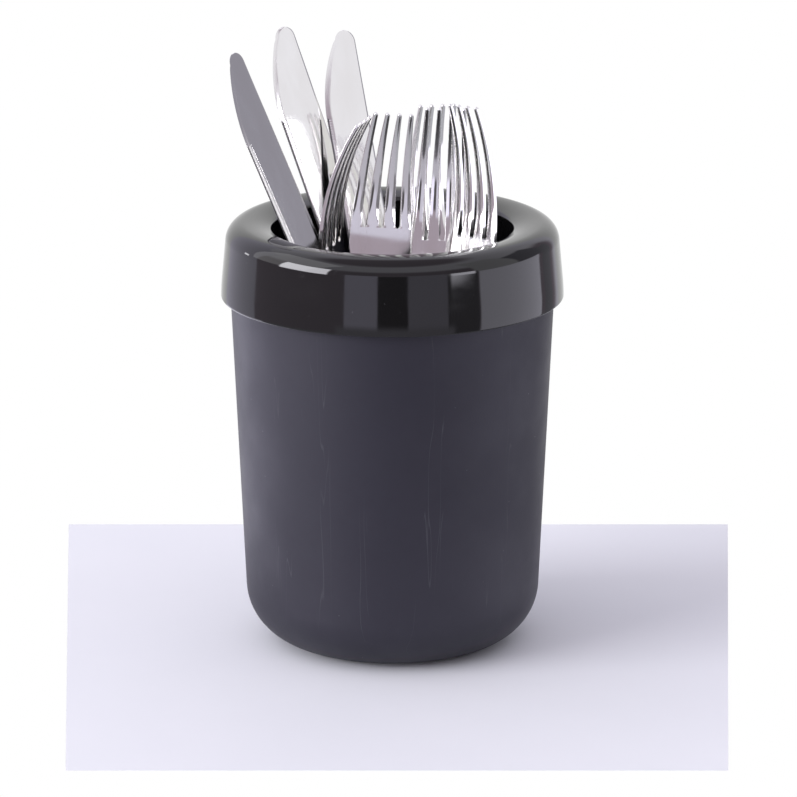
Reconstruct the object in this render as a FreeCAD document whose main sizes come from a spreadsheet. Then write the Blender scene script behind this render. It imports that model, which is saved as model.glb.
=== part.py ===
import FreeCAD, Part
import math
import os
import re
import Sketcher

# Cutlery dispenser: a round pot with a ring lid, loaded with table knives and forks.
# Millimetres, +Z up, origin at the centre of the foot, the photographed side towards -Y.

SIZES = {
    # pot
    "foot_radius": 35.0,
    "corner_radius": 22.3,
    "outer_draft": 2.58,
    "inner_draft": 2.0,
    "pot_wall": 2.4,
    "floor_thickness": 3.0,
    "foot_land": 5.0,
    "recess_depth": 1.0,
    "pot_height": 158.5,
    "ledge_cover": 4.0,
    "ledge_width": 0.71,
    # ring lid, heights counted from the pot's rim
    "skirt_drop": 20.7,
    "skirt_draft": 5.5,
    "crest_rise": 8.2,
    "shoulder_round": 7.4,
    "crown_round": 26.0,
    "brim_width": 20.1,
    "mouth_round": 1.6,
    "lid_wall": 2.2,
    "lip_drop": 6.5,
    "spigot_drop": 8.0,
    "spigot_wall": 2.0,
    "fit_gap": 0.3,
    "stop_rib_width": 1.6,
    "stop_rib_count": 12,
    # forks
    "fork_length": 208.8,
    "fork_gauge": 2.2,
    "fork_butt_width": 19.0,
    "fork_neck_width": 6.4,
    "fork_head_width": 23.3,
    "head_taper_run": 20.0,
    "tine_length": 51.2,
    "tine_rise": 10.4,
    "root_spacing": 6.44,
    "tip_spacing": 4.69,
    "slot_width": 2.5,
    "tine_tip_width": 1.7,
    "handle_bend_start": 20.0,
    "handle_bend_run": 70.0,
    "handle_bow": 4.0,
    "neck_bend_run": 38.0,
    "head_sag": 2.3,
    "short_tine_length": 45.0,
    "short_tine_rise": 9.1,
    # knives
    "knife_length": 241.0,
    "blade_length": 116.0,
    "blade_width": 19.2,
    "belly_radius": 59.0,
    "belly_run": 36.0,
    "heel_run": 7.0,
    "knife_butt_width": 18.5,
    "knife_butt_thickness": 5.4,
    "knife_neck_width": 12.0,
    "knife_neck_thickness": 4.6,
    "blade_heel_thickness": 2.6,
    "blade_tip_thickness": 1.0,
    # how the cutlery stands
    "seat_gap": 0.3,
}

# Sizes that follow from the ones above. Angles are in degrees.
FOLLOWING = {
    "recess_radius": "foot_radius - foot_land - recess_depth",
    "wall_foot": "foot_radius + corner_radius * cos(outer_draft)",
    "wall_foot_rise": "corner_radius * (1 - sin(outer_draft))",
    "core_corner": "corner_radius - pot_wall",
    "core_foot": "foot_radius + core_corner * cos(inner_draft)",
    "core_foot_rise": "floor_thickness + core_corner * (1 - sin(inner_draft))",
    "core_rim": "core_foot + (pot_height - core_foot_rise) * tan(inner_draft)",
    "ledge_height": "pot_height - skirt_drop + ledge_cover",
    "ledge_radius": "wall_foot + (ledge_height - wall_foot_rise) * tan(outer_draft)",
    "skirt_side": "lid_wall / cos(skirt_draft)",
    "rim_radius": "ledge_radius - ledge_width",
    "lid_radius": "rim_radius + fit_gap + skirt_side + skirt_drop * tan(skirt_draft)",
    "mouth_radius": "lid_radius - brim_width",
    "shoulder_level": "crest_rise - shoulder_round",
    "shoulder_top": "shoulder_level + shoulder_round * sin(skirt_draft)",
    "shoulder_radius": "lid_radius - (skirt_drop + shoulder_top) * tan(skirt_draft)",
    "crest_radius": "shoulder_radius - shoulder_round * cos(skirt_draft)",
    "crown_level": "crest_rise - crown_round",
    "roll_offset": "crest_radius - mouth_radius - mouth_round",
    "roll_reach": "crown_round - mouth_round",
    "roll_level": "crown_level + sqrt(roll_reach^2 - roll_offset^2)",
    "roll_radius": "crest_radius - roll_offset * crown_round / roll_reach",
    "roll_top": "crown_level + (roll_level - crown_level) * crown_round / roll_reach",
    "lip_radius": "mouth_radius + lid_wall",
    "under_round": "crown_round - lid_wall",
    "lip_top": "crown_level + sqrt(under_round^2 - (crest_radius - lip_radius)^2)",
    "under_shoulder": "shoulder_round - lid_wall",
    "spigot_radius": "core_rim - spigot_drop * tan(inner_draft) - fit_gap",
    "spigot_bore": "spigot_radius - spigot_wall",
    "spigot_root": "crest_rise - lid_wall / 2",
    "rib_reach": "rim_radius + fit_gap / 2",
    "rib_top": "crest_rise - lid_wall - fit_gap",
    "butt_round": "fork_butt_width / 2",
    "neck_half": "fork_neck_width / 2",
    "head_half": "fork_head_width / 2",
    "head_step": "head_half - neck_half",
    "head_flare": "(head_taper_run^2 + head_step^2) / (4 * head_step)",
    "tip_round": "tine_tip_width / 2",
    "tip_reach": "tip_spacing + tip_spacing / 2",
    "tip_edge": "tip_reach + tip_round",
    "handle_turn": "2 * atan(handle_bow / handle_bend_run)",
    "handle_arc": "(handle_bend_run^2 + handle_bow^2) / (4 * handle_bow)",
    "neck_step": "handle_bow + head_sag",
    "neck_turn": "2 * atan(neck_step / neck_bend_run)",
    "neck_arc": "(neck_bend_run^2 + neck_step^2) / (4 * neck_step)",
    "tine_turn": "2 * atan(tine_rise / tine_length)",
    "tine_arc": "(tine_length^2 + tine_rise^2) / (2 * tine_rise)",
    "short_tine_turn": "2 * atan(short_tine_rise / short_tine_length)",
    "short_tine_arc": "(short_tine_length^2 + short_tine_rise^2) / (2 * short_tine_rise)",
    "half_gauge": "fork_gauge / 2",
    "slot_half": "slot_width / 2",
    "blade_half": "blade_width / 2",
    "heel_height": "knife_length - blade_length",
    "belly_centre": "belly_radius - blade_half",
    "nose_sum": "2 * (belly_centre - blade_half + belly_radius - belly_run)",
    "nose_rest": "belly_radius^2 - (belly_centre - blade_half)^2 - belly_run^2",
    "nose_round": "(sqrt(nose_sum^2 + 4 * nose_rest) - nose_sum) / 2",
    "nose_centre": "blade_half - nose_round",
    "nose_ratio": "belly_radius / (belly_radius - nose_round)",
    "nose_side": "belly_centre + (nose_centre - belly_centre) * nose_ratio",
    "nose_drop": "belly_run - (belly_run - nose_round) * nose_ratio",
    "knife_butt_round": "knife_butt_width / 2",
    "knife_neck_half": "knife_neck_width / 2",
}

# Each piece of cutlery lies on a straight line from the pot's floor to the lid's mouth, at the
# height of the pot's rim. Its foot's and its mouth's places are each given as a distance in from
# the wall there and a bearing from +X, and the last value turns the piece about its own length.
STANDING = {
    "knife_left": (25.32, 21.01, 8.15, 159.63, 58.0),
    "knife_middle": (12.50, 42.80, 7.33, 123.45, 41.3),
    "knife_right": (27.42, -47.66, 15.31, 109.39, 33.7),
    "fork_front": (22.84, -122.25, 35.46, -114.80, 14.2),
    "fork_side": (22.87, -164.79, 19.36, -142.27, 70.4),
    "fork_nested_front": (22.09, -61.40, 26.82, 10.85, 1.0),
    "fork_nested_back": (21.32, -41.86, 22.50, 45.16, 23.5),
    "fork_outer": (10.06, -66.47, 13.52, -28.95, -46.7),
}
SHORT_TINED = ("fork_front",)
PLACE_NAMES = ("foot_inset", "foot_bearing", "mouth_inset", "mouth_bearing", "turn")
PLACE_FORMULAS = {
    "stand_x": "(core_foot - {0}_foot_inset) * cos({0}_foot_bearing)",
    "stand_y": "(core_foot - {0}_foot_inset) * sin({0}_foot_bearing)",
    "reach_x": "(mouth_radius - {0}_mouth_inset) * cos({0}_mouth_bearing) - {0}_stand_x",
    "reach_y": "(mouth_radius - {0}_mouth_inset) * sin({0}_mouth_bearing) - {0}_stand_y",
}

FUNCTIONS = ("sin", "cos", "tan", "atan", "sqrt")
SHEET_NAME = "sizes"
SEAT_TOLERANCE = 0.01

doc = FreeCAD.newDocument("cutlery_dispenser")
sheet = doc.addObject("Spreadsheet::Sheet", SHEET_NAME)
reader = doc.addObject("Spreadsheet::Sheet", "reader")


def fill_sheet():
    """Write every driving size, standing place and following size into its own named cell."""
    rows = dict(SIZES)
    for piece, place in STANDING.items():
        for name, value in zip(PLACE_NAMES, place):
            rows[f"{piece}_{name}"] = value
    for name, formula in FOLLOWING.items():
        rows[name] = "=" + formula
    for piece in STANDING:
        for name, formula in PLACE_FORMULAS.items():
            rows[f"{piece}_{name}"] = "=" + formula.format(piece)
    for row, (name, content) in enumerate(rows.items(), start=1):
        sheet.set(f"A{row}", name)
        sheet.set(f"B{row}", str(content))
        sheet.setAlias(f"B{row}", name)
    doc.recompute()


def on_sheet(formula):
    """The formula with each size named as the sheet's cell."""

    def cell(match):
        word = match.group(0)
        return word if word in FUNCTIONS else f"{SHEET_NAME}.{word}"

    return re.sub(r"[a-z]\w*", cell, formula)


def number(formula):
    """What a formula of sizes comes to."""
    reader.set("A1", "=" + on_sheet(formula))
    reader.recompute()
    return float(reader.get("A1"))


def origin_feature(body, role):
    """The body's own origin plane or axis with this role."""
    return next(item for item in body.Origin.OriginFeatures if item.Role == role)


def new_body(name):
    body = doc.addObject("PartDesign::Body", name)
    body.Label = name
    return body


def new_sketch(body, name, plane):
    sketch = body.newObject("Sketcher::SketchObject", name)
    sketch.AttachmentSupport = [(origin_feature(body, plane), "")]
    sketch.MapMode = "FlatFace"
    return sketch


def arc_edge(start, end, radius, turn):
    """Arc of under a half circle from start to end, turning left or right along the way."""
    chord = end - start
    middle = (start + end) / 2
    left = FreeCAD.Vector(-chord.y, chord.x, 0).normalize()
    rise = math.sqrt(max(radius**2 - (chord.Length / 2) ** 2, 0))
    centre = middle + left * (rise if turn == "left" else -rise)
    first, last = (start, end) if turn == "left" else (end, start)
    angles = [math.atan2(point.y - centre.y, point.x - centre.x) for point in (first, last)]
    circle = Part.Circle(centre, FreeCAD.Vector(0, 0, 1), radius)
    return Part.ArcOfCircle(circle, angles[0], angles[1])


def draw_loop(sketch, corners):
    """Closed loop through corners (x, y) or (x, y, radius, turn), each tied to the sheet.

    A corner with a radius starts an arc to the next corner, the others start a straight edge.
    """
    points = [FreeCAD.Vector(number(corner[0]), number(corner[1]), 0) for corner in corners]
    first_edge = sketch.GeometryCount
    starts = []
    for index, corner in enumerate(corners):
        start, end = points[index], points[(index + 1) % len(points)]
        if len(corner) == 4:
            edge = arc_edge(start, end, number(corner[2]), corner[3])
            starts.append(1 if corner[3] == "left" else 2)
        else:
            edge = Part.LineSegment(start, end)
            starts.append(1)
        sketch.addGeometry(edge, False)
    for index, corner in enumerate(corners):
        edge = first_edge + index
        start = starts[index]
        previous = (index - 1) % len(corners)
        previous_end = 3 - starts[previous]
        sketch.addConstraint(
            Sketcher.Constraint("Coincident", first_edge + previous, previous_end, edge, start)
        )
        for kind, value, formula in (
            ("DistanceX", points[index].x, corner[0]),
            ("DistanceY", points[index].y, corner[1]),
        ):
            held = sketch.addConstraint(Sketcher.Constraint(kind, -1, 1, edge, start, value))
            sketch.setExpression(f"Constraints[{held}]", on_sheet(formula))
        if len(corner) == 4:
            held = sketch.addConstraint(Sketcher.Constraint("Radius", edge, number(corner[2])))
            sketch.setExpression(f"Constraints[{held}]", on_sheet(corner[2]))


def revolve(body, sketch, name):
    turned = body.newObject("PartDesign::Revolution", name)
    turned.Profile = sketch
    turned.ReferenceAxis = (sketch, ["V_Axis"])
    turned.Angle = 360
    return turned


def pad(body, sketch, name, length):
    """Pad both ways from the sketch, by this whole length."""
    padded = body.newObject("PartDesign::Pad", name)
    padded.Profile = sketch
    padded.Midplane = True
    padded.setExpression("Length", on_sheet(length))
    return padded


def cut_through(body, sketch, name):
    """Cut the sketch through the whole body, both ways."""
    cut = body.newObject("PartDesign::Pocket", name)
    cut.Profile = sketch
    cut.Type = "ThroughAll"
    cut.Midplane = True
    return cut


def frame_corners(half_width, bottom, top):
    """A rectangle that lies outside an outline, so that a cut leaves only the outline."""
    return [
        (f"-({half_width})", bottom),
        (half_width, bottom),
        (half_width, top),
        (f"-({half_width})", top),
    ]


def mirrored(half):
    """An outline from its right half, drawn upwards from the axis and closed by its mirror image."""
    result = list(half)
    for index in range(len(half) - 1, 0, -1):
        corner, before = half[index], half[index - 1]
        arc = before[2:] if len(before) == 4 else ()
        result.append((f"-({corner[0]})", corner[1], *arc))
    return result


def pot():
    """Pot: drafted wall, rounded bottom corner, recessed base and a rebated rim for the lid."""
    body = new_body("pot")
    sketch = new_sketch(body, "pot_section", "XZ_Plane")
    draw_loop(
        sketch,
        [
            ("0", "recess_depth"),
            ("recess_radius", "recess_depth"),
            ("recess_radius + recess_depth", "0"),
            ("foot_radius", "0", "corner_radius", "left"),
            ("wall_foot", "wall_foot_rise"),
            ("ledge_radius", "ledge_height"),
            ("rim_radius", "ledge_height + ledge_radius - rim_radius"),
            ("rim_radius", "pot_height"),
            ("core_rim", "pot_height"),
            ("core_foot", "core_foot_rise", "core_corner", "right"),
            ("foot_radius", "floor_thickness"),
            ("0", "floor_thickness"),
        ],
    )
    revolve(body, sketch, "pot_shell")
    return body


def ring_lid():
    """Ring lid: skirt, crown rolled into the mouth, locating spigot and stop ribs on the rim."""
    body = new_body("ring_lid")
    shell = new_sketch(body, "lid_section", "XZ_Plane")
    draw_loop(
        shell,
        [
            ("lid_radius", "-skirt_drop"),
            ("shoulder_radius", "shoulder_top", "shoulder_round", "left"),
            ("crest_radius", "crest_rise", "crown_round", "left"),
            ("roll_radius", "roll_top", "mouth_round", "left"),
            ("mouth_radius", "roll_level"),
            ("mouth_radius", "-lip_drop"),
            ("lip_radius", "-lip_drop"),
            ("lip_radius", "lip_top", "under_round", "right"),
            ("crest_radius", "crest_rise - lid_wall", "under_shoulder", "right"),
            (
                "crest_radius + under_shoulder * cos(skirt_draft)",
                "shoulder_level + under_shoulder * sin(skirt_draft)",
            ),
            ("lid_radius - skirt_side", "-skirt_drop"),
        ],
    )
    revolve(body, shell, "lid_shell")
    spigot = new_sketch(body, "spigot_section", "XZ_Plane")
    draw_loop(
        spigot,
        [
            ("spigot_bore", "-spigot_drop"),
            ("spigot_radius", "-spigot_drop"),
            ("spigot_radius", "spigot_root"),
            ("spigot_bore", "spigot_root"),
        ],
    )
    revolve(body, spigot, "spigot")
    rib = new_sketch(body, "stop_rib_section", "XZ_Plane")
    draw_loop(
        rib,
        [
            ("spigot_radius - spigot_wall / 2", "0"),
            ("rib_reach", "0"),
            ("rib_reach", "crest_rise / 2"),
            ("spigot_radius - spigot_wall / 2", "rib_top"),
        ],
    )
    rib_pad = pad(body, rib, "stop_rib", "stop_rib_width")
    ring = body.newObject("PartDesign::PolarPattern", "stop_ribs")
    ring.Originals = [rib_pad]
    ring.Axis = (origin_feature(body, "Z_Axis"), [""])
    ring.Angle = 360
    ring.setExpression("Occurrences", on_sheet("stop_rib_count"))
    body.Tip = ring
    body.setExpression("Placement.Base.z", on_sheet("pot_height"))
    return body


def strip_loop(stations, half_thickness):
    """Outline of a bent strip from its middle line.

    A station is (across, along, heading, radius, turn): heading is the line's lean from upright
    towards the first axis, and radius and turn, where given, bend the line to the next station.
    """
    sides = []
    for side in (1, -1):
        corners = []
        for across, along, heading, *bend in stations:
            x = f"{across} + {side} * {half_thickness} * cos({heading})"
            y = f"{along} - {side} * {half_thickness} * sin({heading})"
            if bend:
                inwards = 1 if bend[1] == "right" else -1
                radius = f"{bend[0]} - {side * inwards} * {half_thickness}"
                corners.append((x, y, radius, bend[1]))
            else:
                corners.append((x, y))
        sides.append(corners)
    back = []
    for index in range(len(stations) - 1, -1, -1):
        corner = sides[1][index][:2]
        below = sides[1][index - 1] if index else ()
        if len(below) == 4:
            back.append((*corner, below[2], "left" if below[3] == "right" else "right"))
        else:
            back.append(corner)
    return sides[0] + back


def fork(name):
    """Table fork cut from one bent strip: handle, neck, head and four tines that close in."""
    body = new_body(name)
    tine = "short_tine" if name in SHORT_TINED else "tine"
    root = f"fork_length - {tine}_length"
    side = new_sketch(body, f"{name}_side", "YZ_Plane")
    stations = [
        ("0", "0", "0"),
        ("0", "handle_bend_start", "0", "handle_arc", "left"),
        (
            "-handle_bow / 2",
            "handle_bend_start + handle_bend_run / 2",
            "-handle_turn",
            "handle_arc",
            "right",
        ),
        ("-handle_bow", "handle_bend_start + handle_bend_run", "0"),
        (
            "-handle_bow",
            f"{root} - neck_bend_run",
            "0",
            "neck_arc",
            "right",
        ),
        (
            "neck_step / 2 - handle_bow",
            f"{root} - neck_bend_run / 2",
            "neck_turn",
            "neck_arc",
            "left",
        ),
        ("head_sag", root, "0", f"{tine}_arc", "left"),
        (f"head_sag - {tine}_rise", "fork_length", f"-{tine}_turn"),
    ]
    draw_loop(side, strip_loop(stations, "half_gauge"))
    pad(body, side, f"{name}_strip", "fork_head_width + fork_butt_width")

    plan = new_sketch(body, f"{name}_plan", "XZ_Plane")
    head_foot = f"{root} - head_taper_run / 2"
    draw_loop(plan, frame_corners("fork_head_width", "-fork_head_width", "fork_length + fork_head_width"))
    half = [
        ("0", "0", "butt_round", "left"),
        ("butt_round", "butt_round"),
        ("neck_half", f"{root} - neck_bend_run"),
        ("neck_half", f"{head_foot} - head_taper_run / 2", "head_flare", "right"),
        ("(neck_half + head_half) / 2", head_foot, "head_flare", "left"),
        ("head_half", f"{head_foot} + head_taper_run / 2"),
        ("tip_edge", "fork_length - tip_round", "tip_round", "left"),
        ("tip_reach", "fork_length"),
    ]
    draw_loop(plan, mirrored(half))
    cut_through(body, plan, f"{name}_outline")

    slots = new_sketch(body, f"{name}_slots", "XZ_Plane")
    for place in (-1, 0, 1):
        middle = f"{place} * root_spacing"
        left = f"{place} * tip_spacing - tip_spacing / 2"
        right = f"{place} * tip_spacing + tip_spacing / 2"
        bottom = f"{root} + slot_half"
        draw_loop(
            slots,
            [
                (f"{middle} - slot_half", bottom, "slot_half", "left"),
                (middle, root, "slot_half", "left"),
                (f"{middle} + slot_half", bottom),
                (f"{right} - tip_round", "fork_length - tip_round", "tip_round", "right"),
                (right, "fork_length"),
                (right, "fork_length + tip_spacing"),
                (left, "fork_length + tip_spacing"),
                (left, "fork_length", "tip_round", "right"),
                (f"{left} + tip_round", "fork_length - tip_round"),
            ],
        )
    cut_through(body, slots, f"{name}_tines")
    return body


def knife(name):
    """Table knife: waisted handle, heel, blade with a straight back and a bellied edge."""
    body = new_body(name)
    side = new_sketch(body, f"{name}_side", "YZ_Plane")
    draw_loop(
        side,
        mirrored(
            [
                ("0", "0"),
                ("knife_butt_thickness / 2", "0"),
                ("knife_neck_thickness / 2", "heel_height - heel_run"),
                ("blade_heel_thickness / 2", "heel_height + heel_run"),
                ("blade_tip_thickness / 2", "knife_length"),
            ]
        ),
    )
    pad(body, side, f"{name}_wedge", "blade_width + knife_butt_width")

    plan = new_sketch(body, f"{name}_plan", "XZ_Plane")
    draw_loop(plan, frame_corners("blade_width", "-blade_width", "knife_length + blade_width"))
    draw_loop(
        plan,
        [
            ("0", "0", "knife_butt_round", "left"),
            ("knife_butt_round", "knife_butt_round"),
            ("knife_neck_half", "heel_height - heel_run"),
            ("blade_half", "heel_height + heel_run"),
            ("blade_half", "knife_length - nose_round", "nose_round", "left"),
            ("nose_centre", "knife_length", "nose_round", "left"),
            ("nose_side", "knife_length - nose_drop", "belly_radius", "left"),
            ("-blade_half", "knife_length - belly_run"),
            ("-blade_half", "heel_height + heel_run"),
            ("-knife_neck_half", "heel_height - heel_run"),
            ("-knife_butt_round", "knife_butt_round", "knife_butt_round", "left"),
        ],
    )
    cut_through(body, plan, f"{name}_outline")
    return body


def stand(piece, vessel):
    """Lean and turn a piece, then lower it along its length until it nearly touches the pot."""
    stand_x, stand_y, reach_x, reach_y, turn = (
        number(f"{piece.Label}_{name}") for name in (*PLACE_FORMULAS, "turn")
    )
    upright = FreeCAD.Vector(0, 0, 1)
    heading = FreeCAD.Vector(reach_x, reach_y, number("pot_height - floor_thickness"))
    heading.normalize()
    rotation = FreeCAD.Rotation(upright, heading) * FreeCAD.Rotation(upright, turn)
    foot = FreeCAD.Vector(stand_x, stand_y, number("floor_thickness"))
    start = foot + heading * number("corner_radius")
    gap = number("seat_gap")
    travel = 0.0
    piece.Placement = FreeCAD.Placement(start, rotation)
    clear = piece.Shape.distToShape(vessel.Shape)[0] - gap
    while clear > SEAT_TOLERANCE:
        travel += clear
        piece.Placement = FreeCAD.Placement(start - heading * travel, rotation)
        clear = piece.Shape.distToShape(vessel.Shape)[0] - gap
    return piece


def check_document():
    """Stop if any object failed to build."""
    for item in doc.Objects:
        if {"Invalid", "Error"} & set(item.State):
            raise RuntimeError(f"{item.Label} did not build: {item.State}")


def export(pieces):
    os.makedirs("parts", exist_ok=True)
    for piece in pieces:
        shape = piece.Shape
        if shape.isNull() or not shape.isValid() or not shape.Solids:
            raise RuntimeError(f"{piece.Label} has no valid solid")
        shape.exportStep(f"parts/{piece.Label}.step")
        print(f"{piece.Label}: {len(shape.Solids)} solid, {shape.Volume / 1000:.2f} cm3")


fill_sheet()
vessel = pot()
lid = ring_lid()
cutlery = [knife(name) if name.startswith("knife") else fork(name) for name in STANDING]
doc.recompute()
check_document()
for piece in cutlery:
    stand(piece, vessel)
export([vessel, lid, *cutlery])
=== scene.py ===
import math

import bmesh
import bpy
from mathutils import Matrix, Vector


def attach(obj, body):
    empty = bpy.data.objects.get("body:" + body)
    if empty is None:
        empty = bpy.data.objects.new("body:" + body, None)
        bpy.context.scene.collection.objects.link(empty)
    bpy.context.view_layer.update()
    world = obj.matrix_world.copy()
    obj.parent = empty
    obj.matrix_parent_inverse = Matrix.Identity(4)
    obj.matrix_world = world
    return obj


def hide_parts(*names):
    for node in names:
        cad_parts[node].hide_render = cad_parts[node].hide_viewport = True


# Cutlery dispenser: a matt pot with a gloss ring lid, loaded with mirror-polished knives and forks.
# Profiles and cutlery are written in millimetres, the scene is in metres.

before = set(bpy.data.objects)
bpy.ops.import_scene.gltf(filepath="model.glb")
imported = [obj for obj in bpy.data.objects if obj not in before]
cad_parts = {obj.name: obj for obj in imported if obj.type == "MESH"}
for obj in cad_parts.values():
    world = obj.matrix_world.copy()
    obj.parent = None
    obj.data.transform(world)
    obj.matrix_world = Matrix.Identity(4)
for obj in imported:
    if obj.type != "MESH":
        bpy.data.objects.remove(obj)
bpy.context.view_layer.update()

MM = 0.001
TINY = 1e-6

# Camera at the photograph's viewing angle: place in metres, tilt in radians
CAMERA_PLACE = (2.355 * MM, -1.8, 0.6015)
CAMERA_TILT_DOWN = 0.274
FOCAL_PIXELS = 4807.4
FRAME_PIXELS = 797
SENSOR_WIDTH = 36.0

# Pot. Its rim is rebated for the lid, and LEDGE_COVER is how far the skirt hangs below that ledge
FOOT_RADIUS = 35.0
CORNER_RADIUS = 22.3
OUTER_DRAFT = math.radians(2.58)
INNER_DRAFT = math.radians(2.0)
POT_WALL = 2.4
FLOOR_THICKNESS = 3.0
RECESS_RADIUS = 29.0
RECESS_DEPTH = 1.0
POT_HEIGHT = 158.5
LEDGE_COVER = 4.0
INNER_CORNER_RADIUS = CORNER_RADIUS - POT_WALL
INNER_FOOT_RADIUS = FOOT_RADIUS + INNER_CORNER_RADIUS * math.cos(INNER_DRAFT)

# Ring lid, heights counted from the pot's rim. The skirt stands nearly upright at its lower edge
# and eases into its draft over SKIRT_ROLL
LID_RADIUS = 66.5
SKIRT_DROP = 20.7
SKIRT_DRAFT = math.radians(5.5)
SKIRT_FOOT_DRAFT = math.radians(1.0)
SKIRT_ROLL = 7.0
CREST_RISE = 8.2
SHOULDER_ROUND = 7.4
CROWN_ROUND = 26.0
MOUTH_RADIUS = 46.4
MOUTH_ROUND = 1.6
LID_WALL = 2.2
LIP_DROP = 6.5
SPIGOT_DROP = 8.0
SPIGOT_WALL = 2.0
FIT_GAP = 0.3
STOP_RIBS = 12
STOP_RIB_WIDTH = 1.6
SKIRT_THICKNESS = LID_WALL / math.cos(SKIRT_DRAFT)
POT_RIM_RADIUS = LID_RADIUS - SKIRT_DROP * math.tan(SKIRT_DRAFT) - SKIRT_THICKNESS - FIT_GAP

# Softened corners of the mouldings: radius, fineness, and the most of an edge that one may take.
# Edges above MOULDING_SHARP_ANGLE, in degrees, stay sharp in the shading
MOULDING_SHARP_ANGLE = 30
EDGE_SOFTENING = 0.35
SOFTENED_STEPS = 4
SOFTENED_SHARE = 0.45

# Fineness of the turned shapes: steps in a full turn and in each curve of their sections
LATHE_STEPS = 240
POT_CORNER_STEPS = 20
SKIRT_ROLL_STEPS = 8
SHOULDER_STEPS = 18
CROWN_STEPS = 12
MOUTH_STEPS = 8
UNDERSIDE_STEPS = 10

# Attribute that holds a vertex's place in its piece's own upright coordinates, for the textures
OWN_PLACE = "own_place"

# Floor: its corners, which the camera sees as a rectangle, and how far it lies under the pot's foot
FLOOR_CORNERS = ((-118.4, -158.0), (122.0, -158.0), (141.7, 144.0), (-137.2, 144.0))
FLOOR_DROP = 0.2

# Widths and thicknesses of the forks. The head keeps its full width for HEAD_SHOULDER below the
# slots, and the faces are crowned, so that the edges have FORK_EDGE_SHARE of the gauge
FORK_GAUGE = 2.2
TINE_TIP_GAUGE = 1.5
FORK_EDGE_SHARE = 0.68
FORK_BUTT_WIDTH = 19.0
FORK_NECK_WIDTH = 6.4
FORK_HEAD_WIDTH = 24.2
HEAD_SHOULDER = 7.0
HEAD_TAPER_RUN = 20.0

# Tines: their length, and how far in front of the slots' bottoms their tips end
TINES = (51.2, 10.4)
SHORT_TINES = (45.0, 6.6)
SHORT_TINED = ("fork_front",)
TINE_COUNT = 4
ROOT_SPACING = 6.7
TIP_SPACING = 4.69
SLOT_WIDTH = 2.2
TINE_TIP_WIDTH = 1.7

# Bends of the forks, seen from the side. HEAD_TILT is the slope at which the head leans back where
# the slots begin
HANDLE_BEND_START = 20.0
HANDLE_BEND_RUN = 70.0
HANDLE_BOW = 4.0
NECK_BEND_RUN = 38.0
HEAD_SAG = 2.3
HEAD_TILT = 0.09

# Height above the slots' bottoms over which the head's one crown parts into one on each tine
CROWN_RUN = 9.0

# Fineness of the forks: rows along them, columns across each tine's width, and degrees round
# the butt, the slots' bottoms and the tips at which rows lie
HANDLE_ROWS = 80
TINE_ROWS = 30
SPAN_COLUMNS = 4
FORK_BUTT_ANGLES = (8, 18, 30, 42, 54, 66, 78, 90)
SLOT_ANGLES = (25, 45, 65, 90)
TINE_TIP_ANGLES = (25, 50, 72)

# Rounding of the forks' edges, at corners sharper than this angle. None is left to mark as sharp
FORK_SHARP_ANGLE = 180
FORK_ROUNDING = 0.42
FORK_ROUNDING_STEPS = 3
FORK_ROUNDING_ANGLE = math.radians(50)
FLAT_FACE_WEIGHT = 60

# Knives: outline
BLADE_LENGTH = 116.0
BLADE_WIDTH = 19.2
BELLY_RADIUS = 59.0
BELLY_RUN = 36.0
HEEL_RUN = 7.0
KNIFE_BUTT_WIDTH = 18.5
KNIFE_NECK_WIDTH = 12.0

# Handle of a knife. Its section is a superellipse of the power HANDLE_POWER, and the very end of
# the butt has BUTT_END_SHARE of the handle's thickness, which is full after BUTT_ROUND_RUN
KNIFE_BUTT_THICKNESS = 5.4
KNIFE_NECK_THICKNESS = 4.6
HANDLE_POWER = 2.6
BUTT_ROUND_RUN = 6.0
BUTT_END_SHARE = 0.35

# Blade of a knife: thicknesses at the spine, how much of them is left towards the edge, and where
# across the blade the rounding of the spine begins and how much it takes
BLADE_HEEL_THICKNESS = 2.0
BLADE_TIP_THICKNESS = 0.9
WEDGE_SHARE = 0.62
SPINE_ROUND_FROM = 0.9
SPINE_ROUNDING = 0.85

# Ground and toothed edge. The teeth reach over TOOTH_REACH of the grind, and the cuts between them
# take up to NOTCH_GROOVE of the thickness off one face
CUTTING_EDGE_THICKNESS = 0.2
GRIND_WIDTH = 2.6
GROUND_STRIP = 0.8
TOOTH_PITCH = 1.0
TOOTH_DEPTH = 0.3
TOOTH_REACH = 0.7
NOTCH_GROOVE = 0.45
TEETH_FROM_TIP = 34.0
TEETH_TO_TIP = 98.0

# Fineness of the knives: rows along them, degrees round the butt and the nose at which rows lie,
# columns as shares of the width from edge to spine, and the angle from which edges stay sharp
KNIFE_HANDLE_ROWS = 34
HEEL_ROWS = 14
PLAIN_EDGE_ROWS = 8
ROWS_PER_TOOTH = 4
BELLY_ROWS = 24
KNIFE_BUTT_ANGLES = (6, 14, 24, 34, 46, 58, 74, 90)
NOSE_ANGLES = (15, 30, 45, 58, 70, 80, 86)
KNIFE_COLUMNS = (
    *(0.0, 0.02, 0.045, 0.08, 0.135, 0.155, 0.25, 0.38),
    *(0.5, 0.62, 0.75, 0.87, 0.95, 0.985, 1.0),
)
KNIFE_SHARP_ANGLE = 50

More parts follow.
